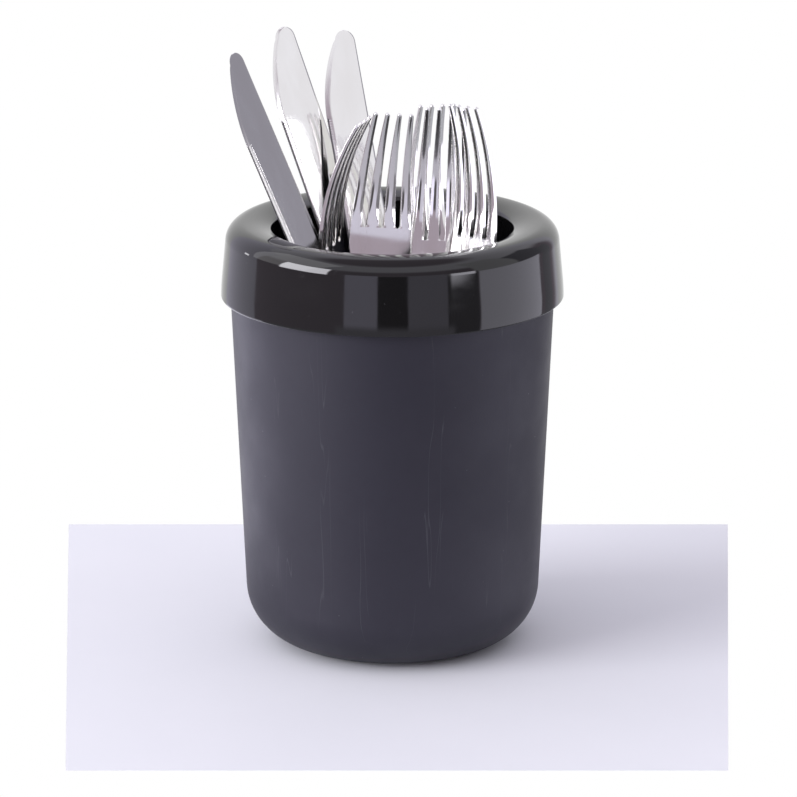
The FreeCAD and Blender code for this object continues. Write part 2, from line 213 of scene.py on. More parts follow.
# Each piece of cutlery lies on a straight line from the pot's floor to the lid's mouth, at the
# height of the pot's rim. Its foot's and its mouth's places are each given as a distance in from
# the wall there and a bearing from +X, and the last value turns the piece about its own length.
STANDING = {
    "knife_left": (25.32, 21.01, 8.15, 159.63, 58.0),
    "knife_middle": (12.50, 42.80, 7.33, 123.45, 41.3),
    "knife_right": (27.42, -47.66, 15.31, 109.39, 33.7),
    "fork_front": (22.84, -122.25, 35.46, -114.80, 14.2),
    "fork_side": (22.87, -164.79, 19.36, -142.27, 70.4),
    "fork_nested_front": (22.09, -61.40, 26.82, 10.85, 1.0),
    "fork_nested_back": (21.32, -41.86, 22.50, 45.16, 23.5),
    "fork_outer": (10.06, -66.47, 13.52, -28.95, -46.7),
}

# Further turns in degrees about a piece's own length, which set what its blade mirrors
MIRROR_TURNS = {"knife_middle": -3.5}

# Colours, as linear red, green, blue and alpha
POT_BLACKS = ((0.0105, 0.010, 0.0165, 1.0), (0.0145, 0.014, 0.021, 1.0))
POT_SHEEN = (0.91, 0.90, 1.0, 1.0)
POT_MARKS = (0.22, 0.22, 0.23, 1.0)
LID_BLACK = (0.0045, 0.0044, 0.0047, 1.0)
LID_SPECKS = (0.05, 0.05, 0.052, 1.0)
STEEL_TONES = ((0.80, 0.79, 0.775, 1.0), (0.84, 0.835, 0.825, 1.0))
# Dark tones of the toothed edge: painted shade of its teeth, far darker than ground steel is
TEETH_SHADE_TONES = ((0.06, 0.055, 0.06, 1.0), (0.20, 0.19, 0.20, 1.0))
FLOOR_TONES = ((0.712, 0.724, 0.755, 1.0), (0.728, 0.738, 0.768, 1.0))
WHITE = (1.0, 1.0, 1.0, 1.0)

# Scratches: how much longer than wide their noise is stretched, the scale of the patches that break
# them up against that, and how softly a patch begins
SCRATCH_STRETCH = 60
SCRATCH_PATCHES = 0.37
SCRATCH_FADE = 0.06

# Sockets of the colour mix node, which has a set of them for each kind of data
MIX_FACTOR, MIX_FIRST, MIX_SECOND, MIX_RESULT = 0, 6, 7, 2

# Distance between the textures of one piece of cutlery and the next, in metres
TEXTURE_STEP = 0.3


# Shader node helpers


def new_material(name):
    material = bpy.data.materials.new(name)
    material.use_nodes = True
    nodes = material.node_tree.nodes
    nodes.clear()
    shader = nodes.new("ShaderNodeBsdfPrincipled")
    output = nodes.new("ShaderNodeOutputMaterial")
    material.node_tree.links.new(shader.outputs["BSDF"], output.inputs["Surface"])
    return material, shader


def add(tree, kind, **settings):
    node = tree.nodes.new(kind)
    for name, value in settings.items():
        setattr(node, name, value)
    return node


def feed(tree, target, source):
    """Link source into target, or set target's value if source is a plain value."""
    if isinstance(source, bpy.types.NodeSocket):
        tree.links.new(source, target)
    else:
        target.default_value = source


def feed_inputs(tree, node, settings):
    """Feed each of these named inputs of node."""
    for name, setting in settings.items():
        feed(tree, node.inputs[name], setting)


def maths(tree, operation, *values):
    node = add(tree, "ShaderNodeMath", operation=operation)
    for socket, value in zip(node.inputs, values):
        feed(tree, socket, value)
    return node.outputs[0]


def plus_share(tree, value, extra, share):
    """Value with this share of extra added."""
    return maths(tree, "ADD", value, maths(tree, "MULTIPLY", extra, share))


def ramp(tree, value, low, high, to_low=0.0, to_high=1.0):
    """Smooth step of value from low to high."""
    node = add(tree, "ShaderNodeMapRange", interpolation_type="SMOOTHSTEP")
    feed_inputs(tree, node, {"Value": value, "From Min": low, "From Max": high})
    feed_inputs(tree, node, {"To Min": to_low, "To Max": to_high})
    return node.outputs[0]


def mix_colour(tree, factor, first, second):
    node = add(tree, "ShaderNodeMix", data_type="RGBA")
    feed(tree, node.inputs[MIX_FACTOR], factor)
    feed(tree, node.inputs[MIX_FIRST], first)
    feed(tree, node.inputs[MIX_SECOND], second)
    return node.outputs[MIX_RESULT]


def own_coordinates(tree, scale=(1.0, 1.0, 1.0), turn=(0.0, 0.0, 0.0)):
    """Each piece's coordinates from before it was stood in place, turned and then scaled."""
    place = add(tree, "ShaderNodeAttribute", attribute_name=OWN_PLACE)
    mapping = add(tree, "ShaderNodeMapping")
    feed_inputs(
        tree, mapping, {"Vector": place.outputs["Vector"], "Rotation": turn, "Scale": scale}
    )
    return mapping.outputs["Vector"]


def noise(tree, vector, scale, detail=4.0, roughness=0.55):
    node = add(tree, "ShaderNodeTexNoise")
    feed_inputs(
        tree, node, {"Vector": vector, "Scale": scale, "Detail": detail, "Roughness": roughness}
    )
    return node.outputs["Fac"]


def scratches(tree, turn, spacing, thinness, sparse):
    """Sparse thin lines: stretched noise close to its middle value, broken up by larger noise."""
    scale = (1 / spacing, 1 / spacing, 1 / (spacing * SCRATCH_STRETCH))
    along = own_coordinates(tree, scale, turn)
    line = maths(tree, "ABSOLUTE", maths(tree, "SUBTRACT", noise(tree, along, 1.0, 1.0), 0.5))
    thin = ramp(tree, line, 0.0, thinness, 1.0, 0.0)
    patches = noise(tree, along, SCRATCH_PATCHES, 2.0)
    return maths(tree, "MULTIPLY", thin, ramp(tree, patches, sparse, sparse + SCRATCH_FADE))


def bump(tree, shader, height, strength, distance):
    """Feed the shader's normal with a bump of this height. The distance is in metres."""
    node = add(tree, "ShaderNodeBump")
    feed_inputs(tree, node, {"Strength": strength, "Distance": distance, "Height": height})
    feed(tree, shader.inputs["Normal"], node.outputs["Normal"])


def pot_material():
    """Matt black moulding: spark-eroded grain, rubbed patches and a few fine pale scratches."""
    material, shader = new_material("pot_matt_black")
    tree = material.node_tree
    here = own_coordinates(tree)
    grain = noise(tree, here, 1500.0, 2.0, 0.6)
    rubbed = noise(tree, here, 22.0, 5.0, 0.6)
    marks = maths(
        tree,
        "MAXIMUM",
        scratches(tree, (0.5, 0.25, 0.0), 0.004, 0.010, 0.60),
        scratches(tree, (-1.1, 0.4, 0.8), 0.006, 0.008, 0.62),
    )
    base = mix_colour(tree, ramp(tree, rubbed, 0.3, 0.7), *POT_BLACKS)
    dust = ramp(tree, noise(tree, here, 420.0, 1.0, 0.5), 0.79, 0.82)
    pale = maths(
        tree,
        "MAXIMUM",
        maths(tree, "MULTIPLY", marks, 0.10),
        maths(tree, "MULTIPLY", dust, 0.3),
    )
    settings = {
        "Base Color": mix_colour(tree, pale, base, POT_MARKS),
        "Roughness": ramp(tree, rubbed, 0.3, 0.7, 0.56, 0.46),
        "Specular IOR Level": 0.5,
        "Specular Tint": POT_SHEEN,
    }
    feed_inputs(tree, shader, settings)
    bump(tree, shader, plus_share(tree, grain, marks, -0.15), 0.22, 0.12 * MM)
    return material


def lid_material():
    """High gloss black moulding: faint flow ripple, wiped smears and hairline scratches."""
    material, shader = new_material("lid_gloss_black")
    tree = material.node_tree
    here = own_coordinates(tree)
    smears = noise(tree, own_coordinates(tree, (1.0, 1.0, 3.0)), 30.0, 5.0, 0.6)
    ripple = noise(tree, here, 55.0, 1.0, 0.4)
    specks = ramp(tree, noise(tree, here, 900.0, 1.0, 0.5), 0.79, 0.83)
    hairlines = scratches(tree, (0.3, 1.2, 0.4), 0.005, 0.007, 0.58)
    wiped = ramp(tree, smears, 0.35, 0.75, 0.035, 0.10)
    settings = {
        "Base Color": mix_colour(tree, specks, LID_BLACK, LID_SPECKS),
        "Roughness": plus_share(tree, wiped, hairlines, 0.12),
        "Specular IOR Level": 0.55,
    }
    feed_inputs(tree, shader, settings)
    bump(tree, shader, plus_share(tree, ripple, hairlines, -0.02), 0.10, 0.6 * MM)
    return material


def steel_material():
    """Mirror-polished stainless steel: fine polishing lines along the piece, with soft smears."""
    material, shader = new_material("polished_stainless_steel")
    tree = material.node_tree
    lines = noise(tree, own_coordinates(tree, (2600.0, 2600.0, 60.0)), 1.0, 3.0, 0.6)
    smears = noise(tree, own_coordinates(tree, (1.0, 1.0, 0.35)), 90.0)
    wear = scratches(tree, (0.12, 0.05, 0.0), 0.0016, 0.02, 0.55)
    smooth = ramp(tree, smears, 0.35, 0.75, 0.05, 0.11)
    settings = {
        "Base Color": mix_colour(tree, ramp(tree, smears, 0.3, 0.7), *STEEL_TONES),
        "Metallic": 1.0,
        "Roughness": plus_share(tree, smooth, wear, 0.12),
    }
    feed_inputs(tree, shader, settings)
    bump(tree, shader, plus_share(tree, lines, wear, -0.8), 0.05, 0.04 * MM)
    return material


def teeth_shade_steel_material():
    """Toothed cutting edge: grinding marks scatter the light; the dark colour is painted shade of
    the teeth.
    """
    material, shader = new_material("toothed_edge_painted_shade")
    tree = material.node_tree
    across = noise(tree, own_coordinates(tree, (200.0, 200.0, 3000.0)), 1.0, 2.0)
    # The dark base colour is painted shade of the teeth, streaked along the grinding marks
    settings = {
        "Base Color": mix_colour(tree, ramp(tree, across, 0.35, 0.65), *TEETH_SHADE_TONES),
        "Metallic": 1.0,
        "Roughness": ramp(tree, across, 0.3, 0.7, 0.28, 0.42),
    }
    feed_inputs(tree, shader, settings)
    bump(tree, shader, across, 0.3, 0.05 * MM)
    return material


# Numbers and curves


def clamped(value):
    """Value held between 0 and 1."""
    return min(max(value, 0.0), 1.0)


def between(first, second, share):
    """Value that lies this share of the way from first to second."""
    return first + (second - first) * share


def half_chord(radius, offset):
    """Half the width of a circle at this distance from its middle."""
    return math.sqrt(max(radius**2 - offset**2, 0.0))


def evenly(low, high, count):
    """This many values above low, of which the last is high."""
    return [low + (high - low) * (i + 1) / count for i in range(count)]


def round_rows(radius, angles):
    """Heights above a round end at which rows lie, for these angles in degrees."""
    return [radius * (1 - math.cos(math.radians(angle))) for angle in angles]


# Turned mouldings


def arc(centre, radius, start, end, steps):
    """Points of an arc from angle start to end, in radians from the outward radius."""
    return [
        (
            centre[0] + radius * math.cos(start + (end - start) * i / steps),
            centre[1] + radius * math.sin(start + (end - start) * i / steps),
        )
        for i in range(steps + 1)
    ]


def softened(points, corners, radius):
    """The closed profile with each of these corners cut by a small curve."""
    result = []
    for i, point in enumerate(points):
        if i not in corners:
            result.append(point)
            continue
        here = Vector(point)
        before = Vector(points[i - 1]) - here
        after = Vector(points[(i + 1) % len(points)]) - here
        reach = min(radius, before.length * SOFTENED_SHARE, after.length * SOFTENED_SHARE)
        start = here + before.normalized() * reach
        end = here + after.normalized() * reach
        for k in range(SOFTENED_STEPS + 1):
            t = k / SOFTENED_STEPS
            bend = start * (1 - t) ** 2 + here * 2 * t * (1 - t) + end * t**2
            result.append((bend.x, bend.y))
    return result


def lathe(bm, profile, height):
    """Turn a closed profile (radius, z) in millimetres about +Z, raised by height."""
    turns = [2 * math.pi * k / LATHE_STEPS for k in range(LATHE_STEPS)]
    rings = []
    for radius, level in profile:
        z = (level + height) * MM
        if radius < TINY:
            rings.append([bm.verts.new((0, 0, z))] * LATHE_STEPS)
            continue
        reach = radius * MM
        ring = [bm.verts.new((reach * math.cos(a), reach * math.sin(a), z)) for a in turns]
        rings.append(ring)
    for i, ring in enumerate(rings):
        following = rings[(i + 1) % len(rings)]
        if ring[0] is ring[1] and following[0] is following[1]:
            continue
        for k in range(LATHE_STEPS):
            n = (k + 1) % LATHE_STEPS
            corners = list(dict.fromkeys((ring[k], ring[n], following[n], following[k])))
            bm.faces.new(corners)


def finished_object(
    name, bm, material, sharp_angle=MOULDING_SHARP_ANGLE, texture_shift=(0.0, 0.0, 0.0)
):
    """A smooth-shaded object from bm, with edges above the angle kept sharp."""
    bmesh.ops.recalc_face_normals(bm, faces=bm.faces)
    mesh = bpy.data.meshes.new(name)
    bm.to_mesh(mesh)
    bm.free()
    mesh.polygons.foreach_set("use_smooth", [True] * len(mesh.polygons))
    mesh.set_sharp_from_angle(angle=math.radians(sharp_angle))
    mesh.materials.append(material)
    own_place = mesh.attributes.new(OWN_PLACE, "FLOAT_VECTOR", "POINT")
    for vertex, place in zip(mesh.vertices, own_place.data):
        place.vector = vertex.co + Vector(texture_shift)
    item = bpy.data.objects.new(name, mesh)
    bpy.context.scene.collection.objects.link(item)
    return item


def pot_inner_radius(height):
    """Inner radius of the pot's wall at this height."""
    rise = FLOOR_THICKNESS + INNER_CORNER_RADIUS * (1 - math.sin(INNER_DRAFT))
    return INNER_FOOT_RADIUS + (height - rise) * math.tan(INNER_DRAFT)


def pot_profile():
    """Closed section of the pot, anticlockwise from the middle of the recess."""
    corner = (FOOT_RADIUS, CORNER_RADIUS)
    inner_corner = (FOOT_RADIUS, FLOOR_THICKNESS + INNER_CORNER_RADIUS)
    wall_foot = FOOT_RADIUS + CORNER_RADIUS * math.cos(OUTER_DRAFT)
    wall_rise = CORNER_RADIUS * (1 - math.sin(OUTER_DRAFT))
    ledge = POT_HEIGHT - SKIRT_DROP + LEDGE_COVER
    ledge_radius = wall_foot + (ledge - wall_rise) * math.tan(OUTER_DRAFT)
    down = -math.pi / 2
    points = [(0, RECESS_DEPTH), (RECESS_RADIUS, RECESS_DEPTH), (RECESS_RADIUS + RECESS_DEPTH, 0)]
    recess_corners = {1, 2}
    points += arc(corner, CORNER_RADIUS, down, -OUTER_DRAFT, POT_CORNER_STEPS)
    rim = [
        (ledge_radius, ledge),
        (POT_RIM_RADIUS, ledge + ledge_radius - POT_RIM_RADIUS),
        (POT_RIM_RADIUS, POT_HEIGHT),
        (pot_inner_radius(POT_HEIGHT), POT_HEIGHT),
    ]
    rim_corners = range(len(points), len(points) + len(rim))
    points += rim
    points += arc(inner_corner, INNER_CORNER_RADIUS, -INNER_DRAFT, down, POT_CORNER_STEPS)
    points.append((0, FLOOR_THICKNESS))
    return softened(points, {*recess_corners, *rim_corners}, EDGE_SOFTENING)


def lid_profile():
    """Closed section of the ring lid, anticlockwise from the skirt's lower edge."""
    shoulder_level = CREST_RISE - SHOULDER_ROUND
    shoulder_top = shoulder_level + SHOULDER_ROUND * math.sin(SKIRT_DRAFT)
    shoulder = LID_RADIUS - (SKIRT_DROP + shoulder_top) * math.tan(SKIRT_DRAFT)
    crest = shoulder - SHOULDER_ROUND * math.cos(SKIRT_DRAFT)
    crown_level = CREST_RISE - CROWN_ROUND
    offset = crest - MOUTH_RADIUS - MOUTH_ROUND
    reach = CROWN_ROUND - MOUTH_ROUND
    lean = math.asin(offset / reach)
    roll_level = crown_level + reach * math.cos(lean)
    lip = MOUTH_RADIUS + LID_WALL
    under_round = CROWN_ROUND - LID_WALL
    lip_lean = math.asin((crest - lip) / under_round)
    up = math.pi / 2
    rolled_in = SKIRT_ROLL * (math.tan(SKIRT_DRAFT) - math.tan(SKIRT_FOOT_DRAFT)) / 2
    shoulder_middle = (crest, shoulder_level)
    crown_middle = (crest, crown_level)
    mouth_middle = (MOUTH_RADIUS + MOUTH_ROUND, roll_level)

    points = [(LID_RADIUS - rolled_in, -SKIRT_DROP)]
    step = SKIRT_ROLL / SKIRT_ROLL_STEPS
    for i in range(SKIRT_ROLL_STEPS):
        draft = between(SKIRT_FOOT_DRAFT, SKIRT_DRAFT, (i + 0.5) / SKIRT_ROLL_STEPS)
        points.append((points[-1][0] - step * math.tan(draft), step * (i + 1) - SKIRT_DROP))
    points += arc(shoulder_middle, SHOULDER_ROUND, SKIRT_DRAFT, up, SHOULDER_STEPS)
    points += arc(crown_middle, CROWN_ROUND, up, up + lean, CROWN_STEPS)[1:]
    points += arc(mouth_middle, MOUTH_ROUND, up + lean, math.pi, MOUTH_STEPS)[1:]
    lip_corners = (len(points), len(points) + 1)
    points += [(MOUTH_RADIUS, -LIP_DROP), (lip, -LIP_DROP)]
    points += arc(crown_middle, under_round, up + lip_lean, up, UNDERSIDE_STEPS)
    under_shoulder = arc(
        shoulder_middle, SHOULDER_ROUND - LID_WALL, up, SKIRT_DRAFT, UNDERSIDE_STEPS
    )
    points += under_shoulder[1:]
    points.append((LID_RADIUS - SKIRT_THICKNESS, -SKIRT_DROP))
    skirt_corners = (0, len(points) - 1)
    return softened(points, {*skirt_corners, *lip_corners}, EDGE_SOFTENING * 2)


def build_pot(material):
    bm = bmesh.new()
    lathe(bm, pot_profile(), 0.0)
    item = finished_object("pot_moulding", bm, material)
    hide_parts("pot")
    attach(item, "pot")


def add_stop_ribs(bm, inner, outer):
    """Ribs under the lid, from the inner to the outer radius, that stand on the pot's rim."""
    section = [
        (inner, 0),
        (outer, 0),
        (outer, CREST_RISE / 2),
        (inner, CREST_RISE - LID_WALL - FIT_GAP),
    ]
    for k in range(STOP_RIBS):
        turn = Matrix.Rotation(2 * math.pi * k / STOP_RIBS, 4, "Z")
        sides = []
        for y in (-STOP_RIB_WIDTH / 2, STOP_RIB_WIDTH / 2):
            corners = [turn @ Vector((x, y, z + POT_HEIGHT)) * MM for x, z in section]
            sides.append([bm.verts.new(corner) for corner in corners])
        bm.faces.new(sides[0])
        bm.faces.new(reversed(sides[1]))
        for i in range(len(section)):
            n = (i + 1) % len(section)
            bm.faces.new((sides[0][i], sides[0][n], sides[1][n], sides[1][i]))


def build_lid(material):
    """Ring lid with its crown, the spigot inside the pot's rim, and the stop ribs."""
    bm = bmesh.new()
    lathe(bm, lid_profile(), POT_HEIGHT)
    outer = pot_inner_radius(POT_HEIGHT - SPIGOT_DROP) - FIT_GAP
    top = CREST_RISE - LID_WALL / 2
    spigot = [
        (outer - SPIGOT_WALL, -SPIGOT_DROP),
        (outer, -SPIGOT_DROP),
        (outer, top),
        (outer - SPIGOT_WALL, top),
    ]
    foot_corners = {0, 1}
    lathe(bm, softened(spigot, foot_corners, EDGE_SOFTENING), POT_HEIGHT)
    add_stop_ribs(bm, outer - SPIGOT_WALL / 2, POT_RIM_RADIUS + FIT_GAP / 2)
    item = finished_object("ring_lid_moulding", bm, material)
    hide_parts("ring_lid")
    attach(item, "ring_lid")


# Cutlery


def on_bearing(radius, bearing):
    """Point at this distance from the pot's axis."""
    angle = math.radians(bearing)
    return radius * math.cos(angle), radius * math.sin(angle)


def turned(name):
    """Rotation of a piece of cutlery as it stands."""
    foot_inset, foot_bearing, mouth_inset, mouth_bearing, turn = STANDING[name]
    foot_x, foot_y = on_bearing(INNER_FOOT_RADIUS - foot_inset, foot_bearing)
    mouth_x, mouth_y = on_bearing(MOUTH_RADIUS - mouth_inset, mouth_bearing)
    heading = Vector((mouth_x - foot_x, mouth_y - foot_y, POT_HEIGHT - FLOOR_THICKNESS))
    upright = Vector((0, 0, 1)).rotation_difference(heading).to_matrix()
    return upright @ Matrix.Rotation(math.radians(turn), 3, "Z")


def own_box(name):
    """Lowest and highest values of a piece's node in its own upright coordinates, in metres."""
    back = turned(name).transposed()
    corners = [back @ vertex.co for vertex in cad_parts[name].data.vertices]
    lows = [min(corner[i] for corner in corners) for i in range(3)]
    highs = [max(corner[i] for corner in corners) for i in range(3)]
    return lows, highs


def node_length(name):
    """Length of a piece's node along its own axis, in millimetres."""
    lows, highs = own_box(name)
    return (highs[2] - lows[2]) / MM


def stand_on_node(item, name, node_depth):
    """Place a piece where its node stands.

    node_depth is how far the node reaches from its axis towards its own +Y, in millimetres.
    """
    rotation = turned(name)
    lows, highs = own_box(name)
    foot = Vector(((lows[0] + highs[0]) / 2, highs[1] - node_depth * MM, lows[2]))
    own_turn = Matrix.Rotation(math.radians(MIRROR_TURNS.get(name, 0.0)), 4, "Z")
    item.data.transform(Matrix.Translation(rotation @ foot) @ rotation.to_4x4() @ own_turn)
    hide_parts(name)
    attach(item, name)


def own_texture_shift(name):
    """Each piece of cutlery takes its wear from another part of the textures."""
    return (0.0, 0.0, TEXTURE_STEP * list(STANDING).index(name))


def s_bend(travel, run, step):
    """Sideways move and heading after travel along an S-bend of two equal arcs."""
    radius = (run**2 + step**2) / (4 * abs(step))
    sign = math.copysign(1.0, step)
    travel = min(max(travel, 0.0), run)
    near = travel if travel <= run / 2 else run - travel
    side = radius - half_chord(radius, near)
    shift = side if travel <= run / 2 else abs(step) - side
    return sign * shift, sign * math.asin(near / radius)


def fork_line(z, length, tines):
    """Depth of the fork's middle surface and its slope at height z, seen from the side."""
    tine_length, tine_rise = tines
    root = length - tine_length
    bow, bow_heading = s_bend(z - HANDLE_BEND_START, HANDLE_BEND_RUN, -HANDLE_BOW)
    rise, rise_heading = s_bend(z - root + NECK_BEND_RUN, NECK_BEND_RUN, HANDLE_BOW + HEAD_SAG)
    depth, heading = bow + rise, bow_heading + rise_heading
    if z > root:
        up = (z - root) / tine_length
        bend = HEAD_TILT + tine_rise / tine_length
        depth += (HEAD_TILT * up - bend * up**2) * tine_length
        heading += math.atan(HEAD_TILT - 2 * bend * up)
    elif z > root - NECK_BEND_RUN:
        up = (z - root) / NECK_BEND_RUN + 1
        depth += HEAD_TILT * NECK_BEND_RUN * (up**3 - up**2)
        heading += math.atan(HEAD_TILT * (3 * up**2 - 2 * up))
    return depth, heading


def fork_half_width(z, root):
    """Half width of the fork's outline below its tines."""
    butt = FORK_BUTT_WIDTH / 2
    neck = FORK_NECK_WIDTH / 2
    neck_start = root - NECK_BEND_RUN
    if z < butt:
        return half_chord(butt, butt - z)
    if z < neck_start:
        return between(butt, neck, (z - butt) / (neck_start - butt))
    taper_start = root - HEAD_SHOULDER - HEAD_TAPER_RUN
    flare, _ = s_bend(z - taper_start, HEAD_TAPER_RUN, FORK_HEAD_WIDTH / 2 - neck)
    return neck + flare


def handle_rows(root):
    """Rows of the fork below its slots: height and four spans that touch."""
    butt = FORK_BUTT_WIDTH / 2
    heights = round_rows(butt, FORK_BUTT_ANGLES) + evenly(butt, root, HANDLE_ROWS)
    rows = []
    for z in heights:
        half = fork_half_width(z, root)
        slot = ROOT_SPACING * half / (FORK_HEAD_WIDTH / 2)
        edges = (-half, -slot, 0.0, slot, half)
        rows.append((z, list(zip(edges, edges[1:]))))
    return rows


def tine_rows(root, length):
    """Rows of the fork above its slots' bottoms: height and the span of each tine."""
    slot_round = SLOT_WIDTH / 2
    tip_round = TINE_TIP_WIDTH / 2
    straight_foot = root + slot_round
    straight_top = length - tip_round
    tip_edge = (TINE_COUNT - 1) / 2 * TIP_SPACING + tip_round
    heights = [root + rise for rise in round_rows(slot_round, SLOT_ANGLES)]
    heights += evenly(straight_foot, straight_top, TINE_ROWS)
    heights += [straight_top + tip_round * math.sin(math.radians(a)) for a in TINE_TIP_ANGLES]
    rows = []
    for z in heights:
        opened = min((z - root) / slot_round, 1.0)
        up = clamped((z - straight_foot) / (straight_top - straight_foot))
        outer_up = min((z - root) / (straight_top - root), 1.0)
        half_gap = slot_round * half_chord(1.0, 1 - opened)
        half_gap += (TIP_SPACING / 2 - tip_round - slot_round) * up
        spacing = between(ROOT_SPACING, TIP_SPACING, up)
        outer = between(FORK_HEAD_WIDTH / 2, tip_edge, outer_up)
        slots = [(i - TINE_COUNT / 2) * spacing for i in range(1, TINE_COUNT)]
        lefts = [-outer] + [slot + half_gap for slot in slots]
        rights = [slot - half_gap for slot in slots] + [outer]
        past = max(z - straight_top, 0.0)
        if past:
            half = half_chord(tip_round, past)
            middles = [(left + right) / 2 for left, right in zip(lefts, rights)]
            lefts = [middle - half for middle in middles]
            rights = [middle + half for middle in middles]
        rows.append((z, list(zip(lefts, rights))))
    return rows


def crown_share(x, left, right, outer, parted):
    """How far a face bulges at x, blended from the whole head's crown to the tine's own."""
    middle = (left + right) / 2
    whole = 1 - min(abs(x) / outer, 1.0) ** 2
    own = 1 - min(abs(x - middle) / (right - middle), 1.0) ** 2
    return between(whole, own, parted)


def fork_bmesh(length, tines):
    """Closed mesh of a fork: two crowned faces joined round their edges."""
    bm = bmesh.new()
    root = length - tines[0]
    rows = handle_rows(root) + tine_rows(root, length)

    def point(x, z, side, crown):
        depth, heading = fork_line(z, length, tines)
        gauge = between(FORK_GAUGE, TINE_TIP_GAUGE, clamped((z - root) / tines[0]))
        half = between(FORK_EDGE_SHARE * gauge, gauge, crown) / 2 * side
        return Vector((x, depth + half * math.cos(heading), z - half * math.sin(heading))) * MM

    grids = {}
    for side in (-1, 1):
        grid = []
        for z, spans in rows:
            joined = z <= root + TINY
            parted = clamped((z - root) / CROWN_RUN)
            outer = spans[-1][1]
            line = []
            for left, right in spans:
                columns = []
                for i in range(SPAN_COLUMNS + 1):
                    if joined and line and i == 0:
                        columns.append(line[-1][-1])
                        continue
                    x = between(left, right, i / SPAN_COLUMNS)
                    crown = crown_share(x, left, right, outer, parted)
                    columns.append(bm.verts.new(point(x, z, side, crown)))
                line.append(columns)
            grid.append(line)
        for lower, upper in zip(grid, grid[1:]):
            for low, high in zip(lower, upper):
                for i in range(SPAN_COLUMNS):
                    bm.faces.new((low[i], low[i + 1], high[i + 1], high[i]))
        grids[side] = [vertex for line in grid for span in line for vertex in span]
    opposite = dict(zip(grids[-1], grids[1]))
    rims = [edge for edge in bm.edges if len(edge.link_faces) == 1 and edge.verts[0] in opposite]
    for edge in rims:
        a, b = edge.verts
        bm.faces.new((a, b, opposite[b], opposite[a]))
    return bm


def build_fork(name, material):
    tines = SHORT_TINES if name in SHORT_TINED else TINES
    bm = fork_bmesh(node_length(name), tines)
    shift = own_texture_shift(name)
    item = finished_object(f"{name}_steel", bm, material, FORK_SHARP_ANGLE, shift)
    edge = item.modifiers.new("rounded_edges", "BEVEL")
    edge.width = FORK_ROUNDING * MM
    edge.segments = FORK_ROUNDING_STEPS
    edge.limit_method = "ANGLE"
    edge.angle_limit = FORK_ROUNDING_ANGLE
    normals = item.modifiers.new("flat_face_normals", "WEIGHTED_NORMAL")
    normals.weight = FLAT_FACE_WEIGHT
    stand_on_node(item, name, HEAD_SAG + FORK_GAUGE / 2)


def nose_radius():
    """Radius of the arc at the blade's tip that touches the spine and the belly."""
    centre = BELLY_RADIUS - BLADE_WIDTH / 2
    total = 2 * (centre - BLADE_WIDTH / 2 + BELLY_RADIUS - BELLY_RUN)
    rest = BELLY_RADIUS**2 - (centre - BLADE_WIDTH / 2) ** 2 - BELLY_RUN**2
    return (math.sqrt(total**2 + 4 * rest) - total) / 2


def blade_span(z, length):
    """Left and right side of the blade at height z, its edge to the left and spine to the right."""
    half = BLADE_WIDTH / 2
    left, right = -half, half
    belly_rise = z - (length - BELLY_RUN)
    if belly_rise > 0:
        left = BELLY_RADIUS - half - half_chord(BELLY_RADIUS, belly_rise)
    radius = nose_radius()
    nose_rise = z - (length - radius)
    if nose_rise > 0:
        chord = half_chord(radius, nose_rise)
        left = max(left, half - radius - chord)
        right = half - radius + chord
    return left, right


def knife_span(z, length):
    """Left and right side of the whole knife at height z, and how much of it is blade there."""
    butt = KNIFE_BUTT_WIDTH / 2
    neck = KNIFE_NECK_WIDTH / 2
    low = length - BLADE_LENGTH - HEEL_RUN
    if z < butt:
        half = half_chord(butt, butt - z)
    else:
        half = between(butt, neck, min((z - butt) / (low - butt), 1.0))
    share = clamped((z - low) / (2 * HEEL_RUN))
    share = share * share * (3 - 2 * share)
    left, right = blade_span(z, length)
    return between(-half, left, share), between(half, right, share), share


def toothed_stretch(length):
    """Lowest and highest height of the teeth."""
    return length - TEETH_TO_TIP, length - TEETH_FROM_TIP


def notch_share(z, length):
    """How deep the cut between two teeth is at height z, from 0 to 1."""
    teeth_low, teeth_high = toothed_stretch(length)
    if not teeth_low < z < teeth_high:
        return 0.0
    return 0.5 - 0.5 * math.cos(2 * math.pi * z / TOOTH_PITCH)


def knife_rows(length):
    """Heights of the rows: close together where the edge is toothed and where the outline turns."""
    butt = KNIFE_BUTT_WIDTH / 2
    heel = length - BLADE_LENGTH
    radius = nose_radius()
    teeth_low, teeth_high = toothed_stretch(length)
    toothed_rows = int((teeth_high - teeth_low) / TOOTH_PITCH * ROWS_PER_TOOTH)
    rows = round_rows(butt, KNIFE_BUTT_ANGLES)
    rows += evenly(butt, heel - HEEL_RUN, KNIFE_HANDLE_ROWS)
    rows += evenly(heel - HEEL_RUN, heel + HEEL_RUN, HEEL_ROWS)
    rows += evenly(heel + HEEL_RUN, teeth_low, PLAIN_EDGE_ROWS)
    rows += evenly(teeth_low, teeth_high, toothed_rows)
    rows += evenly(teeth_high, length - radius, BELLY_ROWS)
    rows += [length - radius * (1 - math.sin(math.radians(angle))) for angle in NOSE_ANGLES]
    return rows


def handle_half_thickness(z, share, low):
    """Half the thickness of the handle, which ends at the height low, at a share of its width."""
    handle = between(KNIFE_BUTT_THICKNESS, KNIFE_NECK_THICKNESS, min(z / low, 1.0))
    butt_round = math.sqrt(min(z / BUTT_ROUND_RUN, 1.0))
    middle_half = handle / 2 * between(BUTT_END_SHARE, 1.0, butt_round)
    from_middle = abs(2 * share - 1)
    return middle_half * (1 - from_middle**HANDLE_POWER) ** (1 / HANDLE_POWER)


